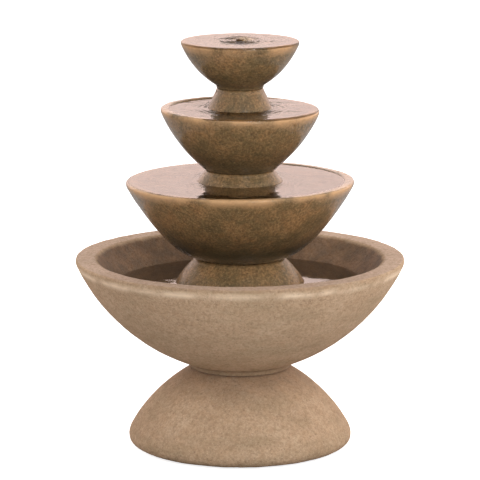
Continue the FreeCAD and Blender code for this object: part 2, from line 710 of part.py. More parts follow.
def make_outlet_adapter():
    """Barbed adapter, plugged into the outlet's stub and pointing up into the tube."""
    flange_top = "adapter_flange"
    turned("outlet_adapter", [
        ("barb_bore", "-adapter_plug_length"),
        ("stub_bore - running_gap", "-adapter_plug_length"),
        ("stub_bore - running_gap", "0"),
        ("stub_radius", "0"),
        ("stub_radius", flange_top),
        *barb_corners(flange_top, 3),
        ("barb_radius", "adapter_barb_length"),
        ("barb_bore", "adapter_barb_length"),
    ], f"{BASIN_FLOOR} + stub_top")


def make_hose_clamp():
    """Band round the tube over the adapter's barb, with a box for its worm screw."""
    body = turned("hose_clamp", hollow("tube_radius + clamp_gap", CLAMP_RADIUS, "clamp_width"),
                  f"{BASIN_FLOOR} + clamp_height")
    primitive(body, "AdditiveBox", (f"{CLAMP_RADIUS} - clamp_thickness / 2", "-worm_box / 2", "0.5"),
              Length="worm_box", Width="worm_box", Height="clamp_width - 1")
    primitive(body, "SubtractiveCylinder", (WORM_ACROSS, "worm_box", "clamp_width / 2"), FACE_FRONT,
              Radius="worm_radius", Height="worm_box * 2")


def make_clamp_screw():
    """Worm screw in the clamp's box, with a round head."""
    turned("clamp_screw", [
        ("0", "0"),
        ("worm_radius - running_gap", "0"),
        ("worm_radius - running_gap", "worm_length"),
        ("worm_head_radius", "worm_length"),
        ("worm_head_radius", "worm_length + worm_head"),
        ("0", "worm_length + worm_head"),
    ], f"{BASIN_FLOOR} + clamp_height + clamp_width / 2", turn=FACE_FRONT, x=WORM_ACROSS,
        y="worm_length / 2")


def make_cord_gland():
    """Tapered strain relief at the rear of the housing, with a bore for the cord."""
    turned("cord_gland", [
        ("gland_cord_bore", "0"),
        ("gland_radius", "0"),
        ("gland_tip_radius", "gland_length"),
        ("gland_cord_bore", "gland_length"),
    ], f"{BASIN_FLOOR} + {PUMP_TOP} - gland_drop", turn=FACE_REAR, y=MOTOR_REAR)


make_base_pedestal()
make_basin()
make_riser()
make_lower_bowl()
make_pedestal("lower_pedestal", LOWER_FLOOR)
make_middle_bowl()
make_pedestal("upper_pedestal", MIDDLE_FLOOR)
make_top_bowl()

make_pads("basin_pads", "(base_top_radius + base_hole_radius) / 2", "base_height")
make_pads("lower_bowl_pads", "riser_top_radius - riser_wall", RISER_TOP)
make_pads("middle_bowl_pads", "(lower_pedestal_top_radius + lower_pedestal_hole_radius) / 2",
          LOWER_PEDESTAL_TOP)
make_pads("top_bowl_pads", "(upper_pedestal_top_radius + upper_pedestal_hole_radius) / 2", UPPER_PEDESTAL_TOP)

make_sleeve("lower_sleeve", LOWER_FOOT, "lower_floor", "lower_sleeve_rise")
make_sleeve("middle_sleeve", MIDDLE_FOOT, "middle_floor", "middle_sleeve_rise")
make_supply_tube()
make_outlet_nozzle()
make_nozzle_washer()
make_nozzle_locknut()
make_drain_stopper()
make_stopper_washer()

make_pump_housing()
make_volute_cover()
make_chamber_seal()
make_rotor()
make_intake_cover()
make_flow_dial()
make_suction_feet()
make_outlet_adapter()
make_hose_clamp()
make_clamp_screw()
make_cord_gland()

for item in doc.Objects:
    if "Invalid" in item.State or "Error" in item.State:
        raise RuntimeError(f"{item.Name} failed: {item.State}")
os.makedirs(PARTS_FOLDER, exist_ok=True)
for piece in pieces:
    if piece.Shape.isNull() or not piece.Shape.isValid():
        raise RuntimeError(f"{piece.Label} has no valid shape")
    piece.Shape.exportStep(f"{PARTS_FOLDER}/{piece.Label}.step")
    print(f"{piece.Label}: {len(piece.Shape.Solids)} solids, {piece.Shape.Volume / 1000:.2f} cm3")
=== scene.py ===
"""Looks of a tiered cast-stone fountain: its stone, its water, its plumbing, and the studio it stands in.

The castings are turned shapes with worn edges, low waves and pits, each standing for
one CAD node. Their colours also carry painted light: highlights along the rims, shade low on the bowls, on
the base under the basin and on the basin's front and foot, and a sky sheen on flat tops. Each spill bowl is
brim full, and its water is a piece of its own.
"""
import json
import math

import bpy
import mathutils
import numpy as np
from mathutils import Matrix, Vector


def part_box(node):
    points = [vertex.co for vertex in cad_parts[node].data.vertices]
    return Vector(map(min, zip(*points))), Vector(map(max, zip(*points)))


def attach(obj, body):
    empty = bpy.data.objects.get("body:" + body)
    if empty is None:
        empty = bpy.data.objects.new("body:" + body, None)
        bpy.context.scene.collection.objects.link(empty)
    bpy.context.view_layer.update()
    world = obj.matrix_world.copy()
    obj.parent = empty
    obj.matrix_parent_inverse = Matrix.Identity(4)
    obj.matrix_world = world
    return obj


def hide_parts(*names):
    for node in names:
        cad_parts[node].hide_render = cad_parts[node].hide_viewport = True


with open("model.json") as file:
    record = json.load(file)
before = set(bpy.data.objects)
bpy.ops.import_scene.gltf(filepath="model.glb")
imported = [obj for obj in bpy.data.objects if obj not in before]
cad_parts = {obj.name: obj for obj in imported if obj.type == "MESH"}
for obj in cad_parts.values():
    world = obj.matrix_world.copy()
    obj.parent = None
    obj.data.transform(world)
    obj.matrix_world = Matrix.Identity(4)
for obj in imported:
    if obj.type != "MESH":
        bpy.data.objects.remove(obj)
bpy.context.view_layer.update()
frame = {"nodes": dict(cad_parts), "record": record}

SEED = 11
MM = 0.001
# How close to the axis an outline's end counts as being on it.
AXIS_GAP = 1e-6
# Towards a seat a casting's unevenness fades out over SEAT_REACH, and there it stands SEAT_GROWTH proud.
SEAT_REACH = 7 * MM
SEAT_GROWTH = 0.45 * MM

# The size of each kind of unevenness of the stone, and how deep it goes.
WAVE_SIZE, WAVE_DEPTH = 90 * MM, 0.9 * MM
RIPPLE_SIZE, RIPPLE_DEPTH = 22 * MM, 0.5 * MM
CHIP_SIZE, CHIP_DEPTH = 40 * MM, 3 * MM
# The patches of the field for worn edges, which also paints a highlight, are about this size.
WEAR_AND_HIGHLIGHT_PATCH = 60 * MM
# The range of the pits' radii, and that of their depths as shares of their radii.
PIT_RADII = (4 * MM, 9 * MM)
PIT_DEPTHS = (0.10, 0.24)

# The radii of the basin's flat floor, of the drain through it and of the two lower spill bowls' bores.
BASIN_FLOOR = 232 * MM
DRAIN_RADIUS = 16 * MM
BOWL_BORE = 14.5 * MM
# How far the corner of each spill bowl's outline lies outside its rounded rim.
RIM_CORNER = {"lower_bowl": 6 * MM, "middle_bowl": 5 * MM, "top_bowl": 4 * MM}
# The edge of each spill bowl's floor: its radius, and its height above the bowl's foot.
FLOOR_EDGE = {
    "lower_bowl": (178 * MM, 63 * MM),
    "middle_bowl": (122 * MM, 65 * MM),
    "top_bowl": (84 * MM, 53 * MM),
}

# How far each of these bowls' rims rises out of level, and which way, in degrees from +X towards +Y.
LOWER_LEAN = (2.2 * MM, 0)
MIDDLE_LEAN = (3.6 * MM, 148)

BOXES = {name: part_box(name) for name in frame["nodes"]}


def foot(node):
    return BOXES[node][0].z


def top(node):
    return BOXES[node][1].z


def widest(node):
    return BOXES[node][1].x


def floor_height(bowl):
    return foot(bowl) + FLOOR_EDGE[bowl][1]


def rim_radius(bowl):
    """The radius of the rim's corner, which its rounding takes off."""
    return widest(bowl) + RIM_CORNER[bowl]


# The height of the water in the basin.
BASIN_WATER = top("basin") - 71 * MM


# ---------------------------------------------------------------- noise

def lattice_values(cells, seed):
    """A random value from 0 to 1 for each whole-numbered point of an endless lattice."""
    cells = cells.astype(np.int64)
    mixed = cells[..., 0] * 73856093 ^ cells[..., 1] * 19349663 ^ cells[..., 2] * 83492791 ^ seed * 2654435761
    mixed = (mixed ^ (mixed >> 13)) * 1274126177
    mixed = mixed ^ (mixed >> 16)
    return (mixed & 0xFFFFFF) / 0xFFFFFF


def smooth_noise(points, size, seed):
    """Value noise from -1 to 1 whose features are about size across."""
    scaled = points / size
    low = np.floor(scaled)
    part = scaled - low
    part = part * part * (3 - 2 * part)
    total = np.zeros(len(points))
    for dx in (0, 1):
        for dy in (0, 1):
            for dz in (0, 1):
                corner = np.array((dx, dy, dz))
                weight = np.prod(np.where(corner, part, 1 - part), axis=1)
                total += weight * lattice_values(low + corner, seed)
    return total * 2 - 1


def fractal(points, size, seed, octaves=3):
    """Layers of noise, each half the size and half the strength of the one before, from -1 to 1."""
    strengths = [0.5 ** octave for octave in range(octaves)]
    layers = [strength * smooth_noise(points, size * strength, seed + octave)
              for octave, strength in enumerate(strengths)]
    return sum(layers) / sum(strengths)


# ---------------------------------------------------------------- outlines

def arc_points(start, stop, radius, hollowed, step):
    """Points from start up to, but not including, stop. The arc bulges to the right of the way it goes."""
    start, stop = np.array(start), np.array(stop)
    chord = stop - start
    length = np.hypot(*chord)
    count = max(2, int(length / step))
    shares = np.arange(count) / count
    if not radius:
        return start + shares[:, None] * chord
    right = np.array((chord[1], -chord[0])) / length
    depth = math.sqrt(radius ** 2 - length ** 2 / 4)
    side = -1 if hollowed else 1
    centre = (start + stop) / 2 - right * depth * side
    first = math.atan2(*(start - centre)[::-1])
    turn = 2 * math.asin(length / 2 / radius) * side
    angles = first + turn * shares
    return centre + radius * np.stack((np.cos(angles), np.sin(angles)), axis=1)


def outline_points(corners, step=1 * MM):
    """A closed outline as close points of (radius, height), from corners given as dictionaries.

    Each corner has its place "at", the "sweep" radius of the arc that leaves it, whether that arc is
    "hollowed", and how far its rounding reaches "before" it and "after" it.
    """
    edges = []
    is_open = corners[0]["at"][0] == 0
    for number, corner in enumerate(corners):
        following = corners[(number + 1) % len(corners)]
        if is_open and following is corners[0]:
            edges.append(np.array([corner["at"]]))
            break
        edges.append(arc_points(corner["at"], following["at"], corner.get("sweep"),
                                corner.get("hollowed", False), step))
    points = np.concatenate(edges)
    starts = np.cumsum([0] + [len(edge) for edge in edges[:-1]])
    rounded = points.copy()
    for corner, start in zip(corners, starts):
        before, after = int(corner.get("before", 0) / step), int(corner.get("after", 0) / step)
        if not before:
            continue
        first, last = points[start - before], points[(start + after) % len(points)]
        shares = np.linspace(0, 1, before + after + 1)[:, None]
        curve = (1 - shares) ** 2 * first + 2 * shares * (1 - shares) * points[start] + shares ** 2 * last
        places = (np.arange(start - before, start + after + 1)) % len(points)
        rounded[places] = curve
    return rounded


def resample(points, spacing):
    """The line through points, with new points whose distance apart is spacing(points) there.

    An outline that starts and ends on the axis stays open, and any other is closed.
    """
    is_open = starts_on_axis(points)
    line = points if is_open else np.vstack((points, points[:1]))
    lengths = np.hypot(*np.diff(line, axis=0).T)
    density = lengths / spacing(line)[:-1]
    reached = np.concatenate(([0], np.cumsum(density)))
    count = int(reached[-1])
    wanted = np.arange(count + is_open) / count * reached[-1]
    return np.stack([np.interp(wanted, reached, line[:, axis]) for axis in (0, 1)], axis=1)


def starts_on_axis(outline):
    return bool(outline[0, 0] < AXIS_GAP)


def turned_mesh(outline, segments):
    """An outline of (radius, height) turned round the upright axis: its vertices, faces and normals.

    An outline that starts and ends on the axis gets a single vertex at each end.
    """
    is_open = starts_on_axis(outline)
    rows = len(outline)
    angles = np.arange(segments) / segments * math.tau
    tangent = np.roll(outline, -1, axis=0) - np.roll(outline, 1, axis=0)
    if is_open:
        tangent[0], tangent[-1] = (1, 0), (-1, 0)
    tangent /= np.hypot(*tangent.T)[:, None]

    def turn(across, up):
        return np.stack((across[:, None] * np.cos(angles), across[:, None] * np.sin(angles),
                         np.repeat(up[:, None], segments, axis=1)), axis=2).reshape(-1, 3)

    vertices = turn(outline[:, 0], outline[:, 1])
    normals = turn(tangent[:, 1], -tangent[:, 0])
    numbers = np.arange(rows * segments).reshape(rows, segments)
    if is_open:
        vertices = np.concatenate((vertices[:1], vertices[segments:-segments], vertices[-1:]))
        normals = np.concatenate((normals[:1], normals[segments:-segments], normals[-1:]))
        numbers = np.maximum(numbers - segments + 1, 0)
        numbers[0], numbers[-1] = 0, len(vertices) - 1
    else:
        numbers = np.vstack((numbers, numbers[:1]))
    beside = np.roll(numbers, -1, axis=1)
    quads = np.stack((numbers[:-1], beside[:-1], beside[1:], numbers[1:]), axis=2)
    if not is_open:
        return vertices, [quads.reshape(-1, 4)], normals
    first, last = quads[0][:, (0, 2, 3)], quads[-1][:, (0, 1, 2)]
    return vertices, [quads[1:-1].reshape(-1, 4), np.concatenate((first, last))], normals


def new_object(name, vertices, face_groups, material):
    """A smooth mesh object. Each group of faces is an array with one row of vertex numbers a face."""
    mesh = bpy.data.meshes.new(name)
    mesh.vertices.add(len(vertices))
    mesh.vertices.foreach_set("co", np.asarray(vertices, dtype=np.float32).ravel())
    corners = np.concatenate([faces.ravel() for faces in face_groups])
    sides = np.concatenate([np.full(len(faces), faces.shape[1]) for faces in face_groups])
    mesh.loops.add(len(corners))
    mesh.loops.foreach_set("vertex_index", corners.astype(np.int32))
    mesh.polygons.add(len(sides))
    mesh.polygons.foreach_set("loop_start", (np.cumsum(sides) - sides).astype(np.int32))
    mesh.polygons.foreach_set("use_smooth", np.full(len(sides), True))
    mesh.update()
    mesh.validate()
    mesh.materials.append(material)
    piece = bpy.data.objects.new(name, mesh)
    bpy.context.scene.collection.objects.link(piece)
    return piece


def add_field(piece, name, values):
    """Store one number per vertex, for the material to read."""
    field = piece.data.attributes.new(name, "FLOAT", "POINT")
    field.data.foreach_set("value", np.asarray(values, dtype=np.float32))


# ---------------------------------------------------------------- materials

# The sockets of a colour mix node, whose names its other kinds of mix share.
MIX_FIRST, MIX_SECOND, MIX_RESULT = 6, 7, 2


class Nodes:
    """A node tree, with a short method for each kind of node that more than one place uses."""

    def __init__(self, tree):
        self.tree = tree

    def add(self, kind, inputs=(), **settings):
        """A new node. inputs gives a value, or another node's socket, for each of its own sockets."""
        node = self.tree.nodes.new(kind)
        for name, value in settings.items():
            setattr(node, name, value)
        for socket, value in dict(inputs).items():
            self.feed(node.inputs[socket], value)
        return node

    def feed(self, socket, value):
        if isinstance(value, bpy.types.NodeSocket):
            self.tree.links.new(value, socket)
        else:
            socket.default_value = value

    def between(self, value, low, high, out_low=0.0, out_high=1.0):
        """The value taken from the range low to high into out_low to out_high, and held within it."""
        inputs = {"Value": value, "From Min": low, "From Max": high, "To Min": out_low, "To Max": out_high}
        return self.add("ShaderNodeMapRange", inputs).outputs["Result"]

    def blend(self, share, first, second, mode="MIX"):
        node = self.add("ShaderNodeMix", data_type="RGBA", blend_type=mode)
        self.feed(node.inputs["Factor"], share)
        self.feed(node.inputs[MIX_FIRST], first)
        self.feed(node.inputs[MIX_SECOND], second)
        return node.outputs[MIX_RESULT]

    def ramp(self, value, stops):
        """The colour at value among stops, which are pairs of a value and its colour."""
        node = self.add("ShaderNodeValToRGB", {"Fac": value})
        elements = node.color_ramp.elements
        while len(elements) < len(stops):
            elements.new(0.5)
        for element, (position, colour) in zip(elements, stops):
            element.position = position
            element.color = colour
        return node.outputs["Color"]


class Shader(Nodes):
    """A material of one surface, with a short method for each kind of pattern on it."""

    def __init__(self, name):
        self.material = bpy.data.materials.new(name)
        self.material.use_nodes = True
        super().__init__(self.material.node_tree)
        self.tree.nodes.clear()
        output = self.add("ShaderNodeOutputMaterial")
        self.surface = self.add("ShaderNodeBsdfPrincipled")
        self.feed(output.inputs["Surface"], self.surface.outputs["BSDF"])
        self.place = self.add("ShaderNodeTexCoord").outputs["Object"]
        self.facing = self.add("ShaderNodeNewGeometry").outputs["Normal"]

    def set(self, **inputs):
        """Set the surface's own sockets. An underscore stands for a space in a socket's name."""
        for name, value in inputs.items():
            self.feed(self.surface.inputs[name.replace("_", " ")], value)

    def stretched(self, scale):
        return self.add("ShaderNodeMapping", {"Vector": self.place, "Scale": scale}).outputs["Vector"]

    def noise(self, scale, detail=3.0, roughness=0.55, place=None):
        inputs = {"Vector": place or self.place, "Scale": scale, "Detail": detail, "Roughness": roughness}
        return self.add("ShaderNodeTexNoise", inputs).outputs["Fac"]

    def cells(self, scale):
        return self.add("ShaderNodeTexVoronoi", {"Vector": self.place, "Scale": scale}).outputs["Distance"]

    def field(self, name):
        return self.add("ShaderNodeAttribute", attribute_name=name).outputs["Fac"]

    def math(self, operation, first, second):
        return self.add("ShaderNodeMath", {0: first, 1: second}, operation=operation).outputs["Value"]

    def mixed_heights(self, *layers):
        """The sum of heights, each given with the share that it counts for."""
        shares = [self.math("MULTIPLY", height, share) for height, share in layers]
        total = shares[0]
        for share in shares[1:]:
            total = self.math("ADD", total, share)
        return total

    def bump(self, height, distance, strength=1.0):
        inputs = {"Height": height, "Distance": distance, "Strength": strength}
        return self.add("ShaderNodeBump", inputs).outputs["Normal"]


def rgb(red, green, blue):
    """A colour given as its sRGB bytes, as the linear values that a shader takes."""
    def linear(byte):
        share = byte / 255
        return share / 12.92 if share <= 0.04045 else ((share + 0.055) / 1.055) ** 2.4
    return (linear(red), linear(green), linear(blue), 1.0)


WATER_IOR = 1.33


def stone_grain(shader):
    """Heights from 0 to 1 of the stone's sandy grain and of its fine pores."""
    grain = shader.noise(420.0, detail=4.0, roughness=0.65)
    sand = shader.noise(150.0, detail=3.0, roughness=0.6)
    pore = shader.between(shader.cells(95.0), 0.05, 0.32)
    return grain, sand, pore


def dry_stone():
    """Light tan cast stone: sandy, with pale flecks, lighter worn edges that also carry a painted highlight,
    a painted pale pink sky sheen on flat tops, and a wet, stained inside. Where the stone is darkened it also
    carries painted shade: under the basin on the base, on the front of the basin's rim and at the basin's
    foot.
    """
    shader = Shader("dry_stone")
    grain, sand, pore = stone_grain(shader)
    patches = shader.noise(8.0, detail=4.0, roughness=0.6)
    clouds = shader.noise(48.0, detail=4.0, roughness=0.65)
    tan = shader.ramp(
        patches, [(0.3, rgb(191, 163, 134)), (0.5, rgb(199, 170, 141)), (0.72, rgb(206, 179, 151))])
    warm = shader.blend(shader.between(clouds, 0.42, 0.66, 0.0, 0.5), tan, rgb(184, 152, 120))
    bands = shader.noise(1.0, detail=4.0, roughness=0.6, place=shader.stretched((6.0, 6.0, 20.0)))
    banded = shader.blend(shader.between(bands, 0.48, 0.64, 0.0, 0.5), warm, rgb(166, 145, 116))
    # Painted sky sheen: faces that point straight up are blended towards a pale pink that stands in for the
    # sky reflected on flat tops, such as the basin's rim.
    upward = shader.add("ShaderNodeSeparateXYZ", {"Vector": shader.facing}).outputs["Z"]
    top_sky_sheen = shader.blend(shader.between(upward, 0.9, 0.99, 0.0, 0.4), banded, rgb(220, 194, 184))
    mottles = shader.noise(90.0, detail=3.0, roughness=0.6)
    dappled = shader.blend(shader.between(mottles, 0.36, 0.5, 0.34, 0.0), top_sky_sheen, rgb(146, 122, 92))
    sandy = shader.blend(shader.between(sand, 0.36, 0.58, 0.42, 0.0), dappled, rgb(150, 120, 92))
    speckled = shader.blend(shader.between(grain, 0.55, 0.70, 0.0, 0.5), sandy, rgb(238, 216, 190))
    flecks = shader.between(shader.cells(130.0), 0.0, 0.2, 0.5, 0.0)
    flecked = shader.blend(flecks, speckled, rgb(242, 222, 196))
    pored = shader.blend(shader.between(pore, 0.0, 1.0, 0.35, 0.0), flecked, rgb(120, 96, 74))
    pitted = shader.blend(shader.between(shader.field("pit"), 0.0, 1.0, 0.0, 0.22), pored, rgb(140, 112, 86))
    # Painted highlight: the field for worn edges lightens the rim edges and so also paints the highlight band
    # along them.
    worn = shader.blend(shader.between(shader.field("wear_and_highlight"), 0.0, 1.0, 0.0, 0.85), pitted, rgb(246, 222, 194))
    # This field darkens wet stone, such as the basin's inside, and also paints shade: the shadow of the basin
    # on the base's top, the front of the basin's rim and the basin's foot.
    damp_and_shade_share = shader.between(shader.field("damp_and_shade"), 0.0, 1.0, 0.0, 0.85)
    stains = shader.noise(24.0, detail=4.0, roughness=0.65)
    stain_and_shade = shader.ramp(
        stains, [(0.34, rgb(122, 116, 110)), (0.5, rgb(150, 136, 124)), (0.66, rgb(176, 158, 142))])
    damp_and_shade = shader.blend(1.0, worn, stain_and_shade, "MULTIPLY")
    # This darkens the basin's stone under its water further, for being wet.
    soaked_and_shaded = shader.blend(shader.field("soak_and_shade"), damp_and_shade, rgb(104, 84, 60))
    colour = shader.blend(damp_and_shade_share, worn, soaked_and_shaded)
    height = shader.mixed_heights((grain, 0.6), (sand, 0.8), (pore, 0.6))
    shader.set(Base_Color=colour, Specular_IOR_Level=0.3, Normal=shader.bump(height, 1.5 * MM),
               Roughness=shader.between(damp_and_shade_share, 0.0, 1.0, 0.92, 0.6))
    return shader.material


def wet_stone(name, film_share):
    """The same stone darkened by soaking water, with a thin film of running water on film_share of it. Where
    its fields ask for them, it carries painted highlights along rim edges and painted shade low on the bowls.
    """
    shader = Shader(name)
    grain, sand, pore = stone_grain(shader)
    patches = shader.noise(14.0, detail=4.0, roughness=0.6)
    clouds = shader.noise(46.0, detail=3.0, roughness=0.6)
    olive = shader.ramp(
        patches, [(0.34, rgb(104, 88, 58)), (0.5, rgb(136, 110, 74)), (0.66, rgb(164, 124, 82))])
    rusty = shader.blend(shader.between(clouds, 0.45, 0.7, 0.0, 0.45), olive, rgb(158, 114, 70))
    mottles = shader.noise(130.0, detail=3.0, roughness=0.6)
    shaded = shader.blend(shader.between(mottles, 0.36, 0.5, 0.42, 0.0), rusty, rgb(86, 74, 46))
    dappled = shader.blend(shader.between(mottles, 0.54, 0.68, 0.0, 0.42), shaded, rgb(186, 146, 100))
    sandy = shader.blend(shader.between(sand, 0.38, 0.6, 0.6, 0.0), dappled, rgb(84, 66, 42))
    speckled = shader.blend(shader.between(grain, 0.55, 0.70, 0.0, 0.65), sandy, rgb(204, 170, 126))
    pored = shader.blend(shader.between(pore, 0.0, 1.0, 0.5, 0.0), speckled, rgb(66, 54, 38))
    # Painted shade: each spill bowl darkens towards its foot, standing in for the shade under it.
    soaked_and_shaded = shader.blend(shader.field("soak_and_shade"), pored, rgb(50, 47, 33))
    # Painted highlight: a golden band along each bowl's rim, partly paler worn stone and partly the highlight
    # of light on the rounded edge.
    worn = shader.blend(shader.between(shader.field("wear_and_highlight"), 0.0, 1.0, 0.0, 0.85), soaked_and_shaded, rgb(214, 168, 120))
    height = shader.mixed_heights((grain, 0.4), (sand, 0.7), (pore, 0.6))
    runs = shader.noise(1.0, detail=2.0, place=shader.stretched((60.0, 60.0, 7.0)))
    film = shader.mixed_heights((runs, 0.8), (height, 0.10))
    shader.set(Base_Color=worn, Roughness=0.55, Specular_IOR_Level=0.25, Normal=shader.bump(height, 1.2 * MM),
               Coat_Weight=film_share, Coat_IOR=WATER_IOR, Coat_Roughness=0.12,
               Coat_Normal=shader.bump(film, 2.0 * MM))
    return shader.material


def water():
    """Clear water, a little coloured by what drifts in it, with the finest ripples on top."""
    shader = Shader("water")
    murk = shader.noise(30.0, detail=2.0)
    drift = shader.ramp(murk, [(0.35, rgb(218, 204, 179)), (0.65, rgb(225, 212, 189))])
    ripples = shader.noise(160.0, detail=1.0)
    shader.set(Base_Color=drift, Roughness=0.02, IOR=WATER_IOR, Transmission_Weight=1.0,
               Normal=shader.bump(ripples, 0.05 * MM))
    return shader.material


def froth():
    """Air bubbles whipped into water: beige, with darker water between them and in swirls."""
    shader = Shader("froth")
    bubbles = shader.cells(260.0)
    fine = shader.noise(300.0, detail=3.0)
    swirls = shader.noise(70.0, detail=4.0, roughness=0.6)
    beige = shader.ramp(
        bubbles, [(0.0, rgb(232, 210, 184)), (0.45, rgb(198, 170, 140)), (0.8, rgb(132, 106, 80))])
    shaded = shader.blend(shader.between(fine, 0.4, 0.65, 0.0, 0.55), beige, rgb(160, 134, 104))
    swirled = shader.blend(shader.between(swirls, 0.48, 0.62, 0.0, 0.7), shaded, rgb(112, 90, 66))
    shader.set(Base_Color=swirled, Roughness=0.25, Specular_IOR_Level=0.4,
               Normal=shader.bump(bubbles, 1.0 * MM, strength=0.7))
    return shader.material


def moulded_plastic(name, colour, worn, roughness, limescale):
    """Plastic with a fine moulded grain, scuffed paler in places, and with lime dried on it in blotches."""
    shader = Shader(name)
    grain = shader.noise(1500.0, detail=2.0)
    scuffs = shader.noise(1.0, detail=4.0, place=shader.stretched((160.0, 160.0, 40.0)))
    scuffed = shader.blend(shader.between(scuffs, 0.55, 0.75, 0.0, 0.6), colour, worn)
    blotches = shader.math("MULTIPLY", shader.noise(60.0, detail=5.0, roughness=0.7), shader.noise(420.0))
    limed = shader.blend(shader.between(blotches, 0.24, 0.36, 0.0, limescale), scuffed, rgb(196, 190, 178))
    shader.set(Base_Color=limed, IOR=1.5, Normal=shader.bump(grain, 0.08 * MM),
               Roughness=shader.between(scuffs, 0.4, 0.7, roughness - 0.08, roughness + 0.15))
    return shader.material


def rubber(name, colour, bloom):
    """Matt rubber with a chalky bloom in patches and a skin of tiny bumps."""
    shader = Shader(name)
    skin = shader.noise(900.0, detail=3.0, roughness=0.65)
    patches = shader.noise(90.0, detail=4.0, roughness=0.6)
    bloomed = shader.blend(shader.between(patches, 0.46, 0.7, 0.0, 0.55), colour, bloom)
    shader.set(Base_Color=bloomed, Roughness=shader.between(patches, 0.3, 0.7, 0.62, 0.85),
               Specular_IOR_Level=0.35, Normal=shader.bump(skin, 0.12 * MM))
    return shader.material


def clear_vinyl():
    """Clear soft tube, faintly green, clouded by what grows inside it."""
    shader = Shader("tube_vinyl")
    growth = shader.noise(1.0, detail=4.0, place=shader.stretched((120.0, 120.0, 18.0)))
    cloudy = shader.ramp(
        growth, [(0.35, rgb(222, 230, 222)), (0.55, rgb(206, 214, 198)), (0.7, rgb(164, 168, 136))])
    shader.set(Base_Color=cloudy, Roughness=0.16, IOR=1.53, Transmission_Weight=0.8,
               Normal=shader.bump(growth, 0.2 * MM))
    return shader.material


def turned_brass():
    """Brass with fine rings from the lathe, browned by water and touched with green where it sits."""
    shader = Shader("brass")
    turning = shader.noise(1.0, detail=2.0, place=shader.stretched((40.0, 40.0, 2600.0)))
    tarnish = shader.noise(70.0, detail=5.0, roughness=0.65)
    dulled = shader.ramp(
        tarnish, [(0.36, rgb(146, 112, 70)), (0.5, rgb(104, 80, 54)), (0.66, rgb(70, 55, 42))])
    green = shader.between(shader.noise(140.0, detail=4.0), 0.62, 0.76, 0.0, 0.5)
    shader.set(Base_Color=shader.blend(green, dulled, rgb(84, 112, 94)), Metallic=0.85,
               Roughness=shader.between(tarnish, 0.35, 0.7, 0.34, 0.6),
               Normal=shader.bump(turning, 0.06 * MM))
    return shader.material


def brushed_steel():
    """Stainless steel with fine scratches round the clamp, and tea stains."""
    shader = Shader("clamp_steel")
    scratches = shader.noise(1.0, detail=3.0, place=shader.stretched((120.0, 120.0, 3200.0)))
    stains = shader.noise(150.0, detail=4.0)
    steel = shader.ramp(
        stains, [(0.4, rgb(206, 207, 208)), (0.6, rgb(184, 183, 180)), (0.76, rgb(150, 122, 92))])
    shader.set(Base_Color=steel, Metallic=1.0, Roughness=shader.between(scratches, 0.3, 0.7, 0.22, 0.42),
               Normal=shader.bump(scratches, 0.03 * MM))
    return shader.material


def ceramic(name, colour, flecks, roughness):
    """Dense fired ceramic with grains of another shade in it."""
    shader = Shader(name)
    grains = shader.cells(1400.0)
    clouds = shader.noise(220.0, detail=3.0)
    grained = shader.blend(shader.between(grains, 0.0, 0.28, 0.7, 0.0), colour, flecks)
    shader.set(Base_Color=shader.blend(shader.between(clouds, 0.4, 0.7, 0.0, 0.35), grained, flecks),
               Roughness=roughness, Normal=shader.bump(grains, 0.03 * MM))
    return shader.material


DRY_STONE = dry_stone()
WET_STONE = wet_stone("wet_stone", 1.0)
RISER_STONE = wet_stone("riser_stone", 0.45)
WATER = water()
FROTH = froth()
# The finish of each of the record's material slots whose CAD nodes are kept as they are.
KEPT_FINISHES = {
    "pad_rubber": rubber("pad_rubber", rgb(62, 61, 60), rgb(98, 95, 90)),
    "sleeve_plastic": moulded_plastic("sleeve_plastic", rgb(212, 208, 198), rgb(232, 229, 222), 0.5, 0.3),
    "tube_vinyl": clear_vinyl(),
    "brass": turned_brass(),
    "washer_rubber": rubber("washer_rubber", rgb(54, 54, 55), rgb(88, 87, 85)),
    "stopper_rubber": rubber("stopper_rubber", rgb(72, 71, 70), rgb(112, 108, 102)),
    "pump_plastic": moulded_plastic("pump_plastic", rgb(40, 42, 45), rgb(70, 72, 75), 0.42, 0.55),
    "dial_plastic": moulded_plastic("dial_plastic", rgb(48, 98, 158), rgb(104, 144, 190), 0.3, 0.25),
    "impeller_plastic": moulded_plastic("impeller_plastic", rgb(226, 224, 214), rgb(240, 239, 232), 0.3, 0.2),
    "magnet": ceramic("magnet", rgb(70, 70, 73), rgb(104, 104, 108), 0.38),
    "shaft_ceramic": ceramic("shaft_ceramic", rgb(240, 238, 232), rgb(222, 217, 206), 0.12),
    "bush_rubber": rubber("bush_rubber", rgb(64, 63, 62), rgb(94, 92, 88)),
    "seal_rubber": rubber("seal_rubber", rgb(142, 62, 44), rgb(172, 98, 78)),
    "adapter_plastic": moulded_plastic("adapter_plastic", rgb(38, 38, 40), rgb(66, 66, 68), 0.48, 0.5),
    "clamp_steel": brushed_steel(),
    "foot_rubber": rubber("foot_rubber", rgb(58, 59, 62), rgb(92, 92, 94)),
}


def finish_kept_nodes():
    """Give the plumbing, the pump and the pads their finishes. The castings are replaced further down."""
    for part in frame["record"]["subparts"]:
        finish = KEPT_FINISHES.get(part["material_slot"])
        if finish:
            for holder in frame["nodes"][part["node"]].material_slots:
                holder.material = finish


finish_kept_nodes()


# ---------------------------------------------------------------- castings

